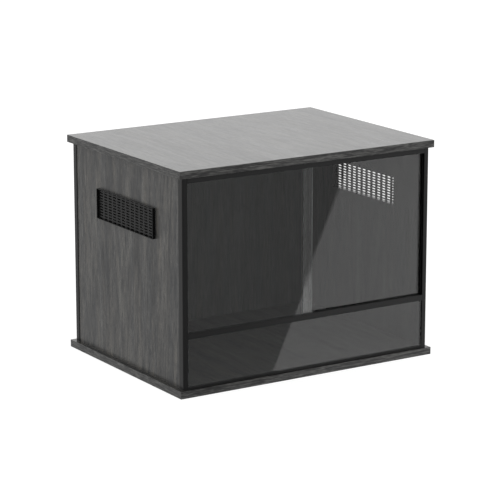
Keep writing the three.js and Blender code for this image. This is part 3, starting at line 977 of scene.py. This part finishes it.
# %% Pull the rings of a vent
def vent_rings():
    """Rings from the plate's front, over the rim and the sleeve, to the plate's back."""
    inner_radius = VENT_CORNER - VENT_LONG_WALL
    sleeve = (rim_outer[0] - SLEEVE_STEP, rim_outer[1] - SLEEVE_STEP)
    wide_opening = (opening[0] + RIM_ROUND, opening[1] + RIM_ROUND)
    narrow_outer = (rim_outer[0] - RIM_ROUND, rim_outer[1] - RIM_ROUND)
    narrow_sleeve = (sleeve[0] - RIM_ROUND, sleeve[1] - RIM_ROUND)
    return [
        (plate_front, *opening, inner_radius),
        (vent_face - RIM_ROUND, *opening, inner_radius),
        (vent_face, *wide_opening, inner_radius + RIM_ROUND),
        (vent_face, *narrow_outer, VENT_CORNER - RIM_ROUND),
        (vent_face - RIM_ROUND, *rim_outer, VENT_CORNER),
        (rim_back, *rim_outer, VENT_CORNER),
        (rim_back, *sleeve, VENT_CORNER - SLEEVE_STEP),
        (vent_low.x + RIM_ROUND, *sleeve, VENT_CORNER - SLEEVE_STEP),
        (vent_low.x, *narrow_sleeve, VENT_CORNER - SLEEVE_STEP - RIM_ROUND),
        (vent_low.x, *opening, inner_radius),
        (plate_back, *opening, inner_radius),
    ]


def pull_ring(bm, edges, old, new):
    """Extrudes one ring of edges and lays the copy out as the next ring."""
    pulled = bmesh.ops.extrude_edge_only(bm, edges=edges)["geom"]
    verts = {part for part in pulled if isinstance(part, bmesh.types.BMVert)}
    old_radius, new_radius = old[3], new[3]
    for vert in verts:
        vert.co.x = new[0]
        for axis, half_old, half_new in ((1, old[1], new[1]), (2, old[2], new[2])):
            offset = vert.co[axis] - vent_middle[axis]
            arc = abs(offset) - (half_old - old_radius)
            reach = half_new - new_radius + arc * new_radius / old_radius
            vert.co[axis] = vent_middle[axis] + math.copysign(reach, offset)
    return [edge for edge in bm.edges if set(edge.verts) <= verts]


def make_vent(word, side):
    bm = bmesh.new()
    last = slotted_plate(bm)
    at_border = {vert for edge in last for vert in edge.verts}
    walls = [face for face in bm.faces if abs(face.normal.x) < 0.5
             and any(vert in at_border for vert in face.verts)]
    bmesh.ops.delete(bm, geom=walls, context="FACES")
    rings = vent_rings()
    for old, new in zip(rings, rings[1:]):
        last = pull_ring(bm, last, old, new)
    if side < 0:
        bmesh.ops.scale(bm, verts=bm.verts, vec=(-1, 1, 1))
    finish_piece(f"{word}_vent_moulding", bm, [vent_black], "vent_plastic", "cabinet",
                 f"{word}_vent")


make_vent("right", 1)
make_vent("left", -1)
print("2 vents with", SLOT_COLUMNS * SLOT_ROWS, "slots each")

# %% [markdown]
# ## Dowels and screws
# They are hidden in the boards, but they are part of the object. A beech dowel has flutes that
# let the glue out and chamfered ends. A countersunk screw has a cross recess in its head and a
# bright zinc plating.

# %% Dowels
BEECH_FIBRE = (1200, 1200, 60)
BEECH_RELIEF = 0.05 * MM
FLUTES = 20
FLUTE_DEPTH = 0.15 * MM
DOWEL_CHAMFER = 0.6 * MM


def beech():
    finish = new_finish("beech")
    place = timber_place(finish, "Z", "X", (0, 0))
    fibre = stretched_noise(finish, place, BEECH_FIBRE, 3.0)
    colour = finish.node("ValToRGB", {"stops": [
        (0.3, (0.45, 0.29, 0.15)), (0.7, (0.68, 0.50, 0.31))]}, {0: fibre})
    bump = relief(finish, fibre, BEECH_RELIEF, 0.3)
    wood = finish.node("BsdfPrincipled", None, {
        "Base Color": colour, "Roughness": 0.6 + (fibre - 0.5) * 0.2, "Normal": bump})
    return finish.end(wood)


def make_dowel(node_name, finish):
    low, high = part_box(node_name)
    middle = (low + high) / 2
    bm = bmesh.new()
    ring = bmesh.ops.create_circle(bm, cap_ends=True, segments=2 * FLUTES,
                                   radius=(high.x - low.x) / 2)["verts"]
    valleys = [vert for i, vert in enumerate(ring) if i % 2]
    shrink = 1 - FLUTE_DEPTH / ((high.x - low.x) / 2)
    bmesh.ops.scale(bm, verts=valleys, vec=(shrink, shrink, 1))
    pulled = bmesh.ops.extrude_face_region(bm, geom=bm.faces[:])["geom"]
    top = [part for part in pulled if isinstance(part, bmesh.types.BMVert)]
    bmesh.ops.translate(bm, verts=top, vec=(0, 0, high.z - low.z))
    ends = {edge for face in bm.faces if len(face.verts) > 4 for edge in face.edges}
    soften(bm, ends, DOWEL_CHAMFER, 1)
    bmesh.ops.translate(bm, verts=bm.verts, vec=(middle.x, middle.y, low.z))
    finish_piece(f"{node_name}_fluted", bm, [finish], "wood_dowel", "cabinet", node_name)


beech_finish = beech()
dowel_nodes = sorted(name for name in nodes if "_dowel_" in name)
for node_name in dowel_nodes:
    make_dowel(node_name, beech_finish)
print(len(dowel_nodes), "dowels")

# %% Screws
PLATING_SCALE = 700
HEAD_RIM = 0.2 * MM
TURNED_STEPS = 24
SHAFT = 3 * MM
THIN_SHAFT = 2.4 * MM
RECESS_ARM = 0.3
RECESS_HALF = 0.07
RECESS_DEPTH = 0.3


def zinc():
    finish = new_finish("zinc plate")
    haze = even_noise(finish, PLATING_SCALE, 3.0)
    colour = finish.node("ValToRGB", {"stops": [
        (0.3, (0.52, 0.53, 0.55)), (0.7, (0.72, 0.73, 0.75))]}, {0: haze})
    plate = finish.node("BsdfPrincipled", None, {
        "Base Color": colour, "Metallic": 1.0, "Roughness": 0.25 + haze * 0.2})
    return finish.end(plate)


def press_cross(bm, head):
    """A cross recess, pressed into the flat of the head at z = 0."""
    arm, half = head * RECESS_ARM, head * RECESS_HALF
    for axis in (0, 1):
        for place in (-arm, -half, half, arm):
            spot, normal = [0, 0, 0], [0, 0, 0]
            spot[axis], normal[axis] = place, 1
            flat = [face for face in bm.faces if abs(face.calc_center_median().z) < TINY]
            parts = {edge for face in flat for edge in face.edges}
            verts = {vert for face in flat for vert in face.verts}
            bmesh.ops.bisect_plane(bm, geom=[*flat, *parts, *verts], plane_co=spot,
                                   plane_no=normal, dist=TINY)
    cross = []
    for face in bm.faces:
        x, y, z = face.calc_center_median()
        inside = max(abs(x), abs(y)) < arm and min(abs(x), abs(y)) < half
        if abs(z) < TINY and inside:
            cross.append(face)
    pressed = bmesh.ops.extrude_face_region(bm, geom=cross)["geom"]
    verts = [part for part in pressed if isinstance(part, bmesh.types.BMVert)]
    bmesh.ops.delete(bm, geom=cross, context="FACES")
    bmesh.ops.translate(bm, verts=verts, vec=(0, 0, head * RECESS_DEPTH))


def make_screw(node_name, shaft, down, finish):
    """A screw whose head lies at the bottom of its box, or at the top if it points down."""
    low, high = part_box(node_name)
    head, length = high.x - low.x, high.z - low.z
    cone = (head - shaft) / 2
    profile = [(0, 0), (head / 2, 0), (head / 2, HEAD_RIM), (shaft / 2, HEAD_RIM + cone),
               (shaft / 2, length - shaft / 2), (0, length)]
    bm = bmesh.new()
    verts = [bm.verts.new((radius, 0, z)) for radius, z in profile]
    edges = [bm.edges.new(pair) for pair in zip(verts, verts[1:])]
    bmesh.ops.spin(bm, geom=verts + edges, cent=(0, 0, 0), axis=(0, 0, 1),
                   angle=2 * math.pi, steps=TURNED_STEPS, use_merge=True)
    bmesh.ops.remove_doubles(bm, verts=bm.verts, dist=SEAM)
    press_cross(bm, head)
    if down:
        bmesh.ops.scale(bm, verts=bm.verts, vec=(1, 1, -1))
    middle = (low + high) / 2
    bmesh.ops.translate(bm, verts=bm.verts,
                        vec=(middle.x, middle.y, high.z if down else low.z))
    finish_piece(f"{node_name}_turned", bm, [finish], "zinc_steel", "cabinet", node_name)


zinc_finish = zinc()
screw_nodes = sorted(name for name in nodes if "_screw_" in name)
for node_name in screw_nodes:
    shaft = THIN_SHAFT if "_rail_" in node_name else SHAFT
    make_screw(node_name, shaft, node_name.startswith("bottom_rail"), zinc_finish)
print(len(screw_nodes), "screws")
